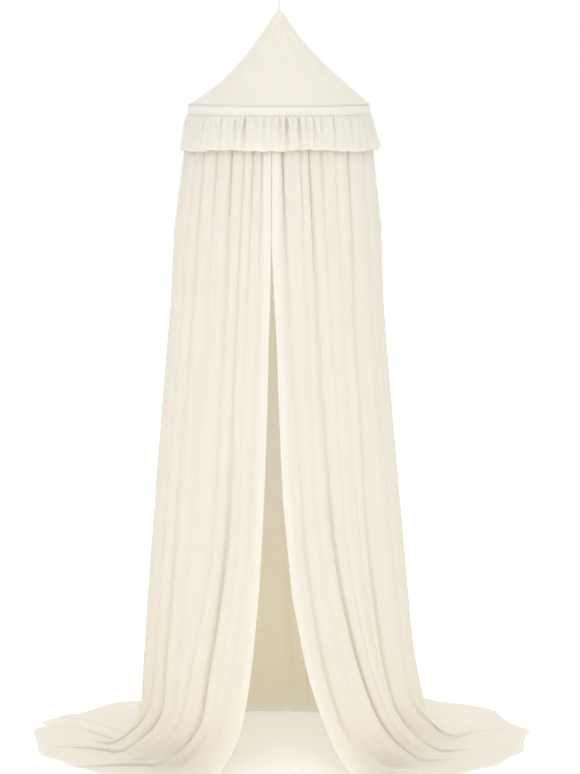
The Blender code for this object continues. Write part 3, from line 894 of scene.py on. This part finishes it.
def all_folds():
    """The folds in order of turn, with the calm ones of the back between the placed ones."""
    before, after = LEFT_FOLDS[-1], RIGHT_FOLDS[0]
    back = []
    for k in range(BACK_FOLDS):
        share = (k + 1) / (BACK_FOLDS + 1)
        sway = 2.6 * math.sin(2.4 * k) * math.sin(math.pi * share)
        wide = (1 + 0.35 * math.sin(1.9 * k + 0.7)) * (0.55 if abs(share - 0.5) < 0.22 else 1)
        head = before.head + (after.head - before.head) * share + sway
        foot = before.foot + (after.foot - before.foot) * share + 1.6 * sway
        back.append(Fold(head, (head + foot) / 2, foot, 0.007 * wide, 0.012 * wide, 0.018 * wide))
    return np.array([*LEFT_FOLDS, *back, *RIGHT_FOLDS])


def at_height(z, head, middle, foot):
    """A fold's value at a height, eased between its head, its middle and where it lands."""
    upper = np.clip((DRAPE_HEAD - z) / (DRAPE_HEAD - MIDDLE), 0, 1) ** 1.3
    lower = np.clip((MIDDLE - z) / (MIDDLE - LANDING), 0, 1) ** 1.6
    return head + (middle - head) * upper + (foot - middle) * lower


def envelope(turn, z):
    """Radius of the drape's crowns: a circle at the hoop, wider than deep lower down."""
    tuck = np.clip((HANG_TOP - z) / (HANG_TOP - UNDER_RUFFLE), 0, 1)
    near_floor = np.clip(1 - (z - LANDING) / 0.2, 0, 1) ** 2
    below = np.maximum(UNDER_RUFFLE - z, 0)
    swell = SHOULDER * np.exp(-(((z - SHOULDER_HEIGHT) / 0.13) ** 2))
    head = HEAD_RADIUS + TUCK_UNDER_RUFFLE * tuck
    half_width = head + WIDENING * below + 0.009 * near_floor + swell
    half_depth = head + DEEPENING * below
    return 1 / np.hypot(np.sin(turn) / half_width, np.cos(turn) / half_depth)


def lean(turn, z):
    """Sideways shift: a little to the left at half height and to the right near the floor."""
    down = np.clip((UNDER_RUFFLE + 0.03 - z) / 1.45, 0, 1)
    near_floor = np.clip(1 - (z - LANDING) / 0.2, 0, 1) ** 2
    return -BOW_TO_LEFT * np.sin(np.pi * down) * np.sin(turn) ** 2 + FOOT_TO_RIGHT * near_floor


def hem_at(turn):
    """Plan of the foot hem on the floor at a turn, on a smooth line through the table's points."""
    known, *plan = smooth_route(HEM, 900).T
    behind = np.clip(1 - np.abs(turn - 180) / 50, 0, 1)[..., None]
    waver = np.stack([0.4 * rough(turn / 9, 0 * turn, 37), rough(turn / 13, 0 * turn, 43) - 0.6], axis=2)
    return np.stack([np.interp(turn, known, line) for line in plan], axis=2) + BACK_WAVER * behind * waver


# Where every column of the cloth lies between its two folds.
folds = all_folds()
front_gaps = len(LEFT_FOLDS) - 1, len(folds) - len(RIGHT_FOLDS)
first, part = [], []
for gap in range(len(folds) - 1):
    count = BACK_COLUMNS if front_gaps[0] <= gap < front_gaps[1] else FRONT_COLUMNS
    first += [gap] * count
    part += [k / count for k in range(count)]
first, part = np.array(first + [len(folds) - 2]), np.array(part + [1.0])
part = part - 0.62 * np.sin(2 * np.pi * part) / (2 * np.pi)
head_turn = folds[first, 0] * (1 - part) + folds[first + 1, 0] * part


def between(values):
    """Values of the folds, given row by row, at every column."""
    return values[:, first] * (1 - part) + values[:, first + 1] * part


def valleys(depths, gap_widths, width, crisp):
    """How far every column lies behind the crowns: valleys at the folds, with a narrow crease where crisp."""
    wide = np.minimum(width, 0.35 * gap_widths)
    sunk = 0
    for depth, aside in ((depths[:, first], part), (depths[:, first + 1], 1 - part)):
        apart = aside * gap_widths / wide
        sunk = sunk + depth * (0.75 * np.exp(-(apart**1.35)) + 0.55 * crisp * np.exp(-((apart / 0.32) ** 2)))
    return sunk


# The hanging cloth, row by row from the seam to where it lands.
under_ruffle = np.linspace(DRAPE_HEAD, UNDER_RUFFLE, 9)[:-1]
falling = 1 - (1 - np.linspace(0, 1, 66)) ** 1.25
z = np.concatenate([under_ruffle, UNDER_RUFFLE + (LANDING - UNDER_RUFFLE) * falling])[:, None]
turns = at_height(z, *folds[:, :3].T)
opening = np.array(FRONT_OPENING)[::-1]
turns[:, 0] = np.interp(z[:, 0], opening[:, 0], opening[:, 1])
turns[:, -1] = 360 + np.interp(z[:, 0], opening[:, 0], opening[:, 2])
depths = at_height(z, *folds[:, 3:].T) * np.clip((DRAPE_HEAD - z) / 0.09, 0, 1)
from_edge = np.minimum(head_turn - head_turn[0], head_turn[-1] - head_turn)
free = np.clip(from_edge / 9, 0, 1)
degrees = between(turns) + FOLD_WANDER * rough(head_turn / 9 + 0 * z, z / 0.33 + 0 * head_turn, 11) * free
turn = np.radians(degrees)
crowns = envelope(turn, z)
gaps = np.radians(np.diff(turns, axis=1))[:, first] * crowns
fold_width = at_height(z, *FOLD_WIDTHS)
crisp = np.interp(-z, (-1.65, -1.35, -0.90, -0.45), (1.0, 0.30, 0.30, 1.0))
radius = crowns - valleys(depths, gaps, fold_width, crisp)
hanging = np.stack([lean(turn, z) - radius * np.sin(turn), -radius * np.cos(turn), z + 0 * turn], axis=2)

# The cloth on the floor, whose columns run from where they land to the hem, the side ones swept sideways.
near_hem = [0.956, 0.972, 0.986, 1.0]
run = np.concatenate([np.linspace(0, 0.94, 33)[1:], near_hem])[:, None]
foot_turns = folds[None, :, 2] + 0 * run
foot_depths = folds[None, :, 5] + 0 * run
degrees = between(foot_turns)
turn = np.radians(degrees)
out = np.stack([-np.sin(turn), -np.cos(turn)], axis=2)
sideways = np.stack([np.copysign(np.clip((np.cos(turn) + 0.55) / 0.9, 0, 1), out[..., 0]), 0 * turn], axis=2)
sweep = np.abs(sideways[..., :1])
crowns = envelope(turn, LANDING)
start = np.stack([lean(turn, LANDING), 0 * turn], axis=2) + crowns[..., None] * out
goal = hem_at(degrees)
span = np.linalg.norm(goal - start, axis=2, keepdims=True)
from_front = np.abs((degrees + 180) % 360 - 180)
front_drift = FRONT_DRIFT * np.clip((from_front - 14) / 16, 0, 1) * np.clip((100 - from_front) / 30, 0, 1)
drift = front_drift + RIGHT_DRIFT * np.exp(-(((degrees - 290) / 11) ** 2))
leave = start + span * (0.12 * out + 0.26 * sideways) + np.stack([0 * drift, drift], axis=2)
arrive = goal - span * 0.40 * (sideways + (1 - sweep) * out)
t = run[..., None] ** (1 + 1.3 * (1 - sweep))
plan = start * (1 - t) ** 3 + 3 * leave * t * (1 - t) ** 2 + 3 * arrive * t**2 * (1 - t) + goal * t**3
fall = np.clip(1 - run / BEND_SHARE, 0, 1) ** 2.1
gaps = np.radians(np.diff(foot_turns, axis=1))[:, first] * crowns
plan = plan - out * (valleys(foot_depths, gaps, FOLD_WIDTHS[-1], 1.0) * fall)[..., None]

# Its ridges, some of which lean over their near side.
lying = np.concatenate([plan, 0 * plan[..., :1]], axis=2)
along_row = steps_along(lying, 1)
fold_columns = np.searchsorted(first + part, np.arange(len(folds)))
lift = np.zeros_like(along_row)
overhang = np.zeros_like(along_row)
for number, height, length, leaning in LAID_RIDGES:
    side = 1 if folds[number, 2] < 180 else -1
    column = fold_columns[number]
    beyond = np.clip(side * (along_row - along_row[:, column : column + 1]), 0, None)
    fade = np.clip(1 - (run / length) ** 2, 0, 1)
    crest = (1 - np.exp(-((beyond / 0.007) ** 1.4))) * np.exp(-((beyond / (0.034 + 0.02 * run)) ** 1.6))
    lift = np.maximum(lift, height * fade * crest)
    overhang -= side * leaning * height * fade * np.exp(-(((beyond - 0.010) / 0.008) ** 2)) * (beyond > 0)
lift += 0.0022 * (rough(along_row / 0.06, run * 4, 13) + 1) * np.clip(run / 0.3, 0, 1) * (1 - 0.9 * run)
lift *= np.clip(1 - fall, 0, 1)
overhang *= np.clip(1 - fall, 0, 1)
across_run = np.gradient(lying, axis=1)
lying += across_run / np.linalg.norm(across_run, axis=2, keepdims=True) * overhang[..., None]
ground = DRAPE_CLOTH / 2 + LYING_GAP
lying[..., 2] = ground + (LANDING - ground) * fall + lift

# Both parts as one cloth, with a soft bend between them.
drape_grid = np.concatenate([hanging, lying])
bend = slice(len(z) - BEND_ROWS, len(z) + BEND_ROWS)
above, below = slice(bend.start - 1, bend.stop - 1), slice(bend.start + 1, bend.stop + 1)
for _ in range(BEND_PASSES):
    drape_grid[bend] = (drape_grid[above] + 2 * drape_grid[bend] + drape_grid[below]) / 4
down = steps_along(drape_grid, 0)
across = steps_along(drape_grid, 1)
cut_across = across[MIDDLE_ROWS].mean(axis=0)
cut_down = down.mean(axis=1)
drape_cut = np.stack(np.meshgrid(cut_across * DRAPE_MIDDLE_WIDTH / cut_across[-1], -cut_down), axis=2)


def swelling(place, width, middle, length):
    """A soft swelling of the cloth, 1 at its middle, round a turn at the head and a way down."""
    return np.exp(-(((head_turn - place) / width) ** 2) - ((down - middle) / length) ** 2)


# Gathers below the seam, soft swellings and crinkles, as a relief on the outer side.
hangs = np.clip((drape_grid[..., 2] - 0.03) / 0.12, 0, 1)
luck = np.random.default_rng(8)
relief = np.zeros(down.shape)
for place in luck.uniform(6, 362, 150):
    width, deep = luck.uniform(0.35, 0.90), luck.uniform(0.0015, 0.0045)
    reach = 0.12 + 0.55 * luck.random() ** 2
    fade = np.clip(1 - down / reach, 0, 1) ** 1.3 * np.clip(down / 0.04, 0, 1)
    relief -= deep * fade * np.exp(-(((head_turn - place) / width) ** 2))
for place in luck.uniform(8, 360, 80):
    width, height = luck.uniform(0.9, 2.2), luck.uniform(-0.0034, 0.0020)
    middle, length = luck.uniform(0.3, 1.6), luck.uniform(0.2, 0.6)
    relief += height * swelling(place, width, middle, length)
for place, width, height, middle, length in SOFT_RIDGES:
    relief += height * swelling(place, width, middle, length)
u, v = drape_cut[..., 0], -drape_cut[..., 1]
for height, width, length, seed in CRINKLES:
    relief += height * rough(u / width, v / length, seed)
relief *= np.clip((down - 0.02) / 0.12, 0, 1)
buckle = np.exp(-(((drape_grid[..., 2] - 0.10) / 0.09) ** 2))
relief += BUCKLE * rough(u / 0.06, v / 0.035, 29) * buckle
to_edge = np.minimum(across, across[:, -1:] - across)
relief *= np.clip(to_edge / 0.05, 0.25, 1)
relief += EDGE_ROLL * np.exp(-to_edge / 0.010) * hangs * np.clip((down - 0.10) / 0.1, 0, 1)
drape_grid = drape_grid + outward_of(drape_grid, False) * (relief * (0.35 + 0.65 * hangs))[..., None]

# The hems, where the cloth is thicker.
hem = np.maximum((EDGE_HEM - to_edge) / 0.003, (FOOT_HEM - down[-1:] + down) / 0.004)
hem = np.clip(hem + 0.5, 0, 1)
thick = DRAPE_CLOTH + DRAPE_HEM_EXTRA * hem
drape_grid[..., 2] = np.maximum(drape_grid[..., 2], thick / 2 + OFF_FLOOR)
drape_cotton = cotton("drape_cotton", CREAM, show_through=0.50, crinkle=0.45)
drape = cloth_piece("drape_curtain", drape_grid, drape_cut, thick, hem, drape_cotton)
finish_cloth(drape, "drape")

# The sewing: cotton thread in rows of lockstitch along the hems of the drape and the ruffle and along the
# band's lower edge, each stitch pulled a little into the cloth.

ROW_INSET = 0.002
FIRST_STITCHED = 6


def row_at(grid, normals, distance, rise):
    """Points on a cloth's outer side at a distance from the start of each of its rows."""
    walked = steps_along(grid, 1)
    points = []
    for row, raised in enumerate(grid + normals * rise):
        points.append([np.interp(distance, walked[row], raised[:, axis]) for axis in range(3)])
    return np.array(points)


def from_foot(grid):
    """A grid turned so that each of its rows runs up from the foot."""
    return grid[::-1].transpose(1, 0, 2)


def closed(row):
    """A row that comes back to its first point."""
    return np.vstack([row, row[:1]])


stitch_sizes = {"Pitch": 0.0045, "Thickness": 0.00028, "Half length": 0.0016}
tree, given, end = node_tree("sewn_rows", stitch_sizes)
points = add(
    tree,
    "GeometryNodeCurveToPoints",
    {"Curve": given["Geometry"], "Length": given["Pitch"]},
    mode="LENGTH",
).outputs
bead = add(tree, "GeometryNodeMeshUVSphere", {"Segments": 6, "Rings": 4, "Radius": 1.0}).outputs["Mesh"]
bead_sides = {"X": given["Thickness"], "Y": given["Thickness"], "Z": given["Half length"]}
bead_size = add(tree, "ShaderNodeCombineXYZ", bead_sides).outputs[0]
stitches = add(
    tree,
    "GeometryNodeInstanceOnPoints",
    {"Points": points["Points"], "Instance": bead, "Rotation": points["Rotation"], "Scale": bead_size},
)
thread_cotton = spun_cotton(
    "thread_cotton",
    dark=(0.66, 0.61, 0.52),
    light=(0.88, 0.84, 0.76),
    fibres=(4200.0, 2.0),
    relief=(0.4, 0.0001),
    roughness=0.7,
    sheen=0.2,
)
finish_tree(tree, stitches.outputs[0], thread_cotton, end)

drape_out = outward_of(drape_grid, False)
drape_rise = DRAPE_CLOTH / 2 + 0.0008
below_head, out_below_head = drape_grid[FIRST_STITCHED:], drape_out[FIRST_STITCHED:]
ruffle_out = outward_of(ruffle_grid, True)
band_out = outward_of(band_grid, True)
ruffle_row = row_at(from_foot(ruffle_grid), from_foot(ruffle_out), RUFFLE_HEM, RUFFLE_CLOTH / 2 + 0.0004)
band_row = band_grid[-3] + band_out[-3] * (BAND_CLOTH / 2 + 0.0001)
rows = [
    row_at(below_head, out_below_head, EDGE_HEM - ROW_INSET, drape_rise),
    row_at(below_head[:, ::-1], out_below_head[:, ::-1], EDGE_HEM - ROW_INSET, drape_rise),
    row_at(from_foot(drape_grid), from_foot(drape_out), FOOT_HEM - ROW_INSET, drape_rise),
    closed(ruffle_row),
    closed(band_row),
]
sewing = grown("sewn_rows", thread_line("thread_runs", [placed(row) for row in rows]), tree, stitch_sizes)
sewing.data.shade_smooth()
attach(sewing, "root")
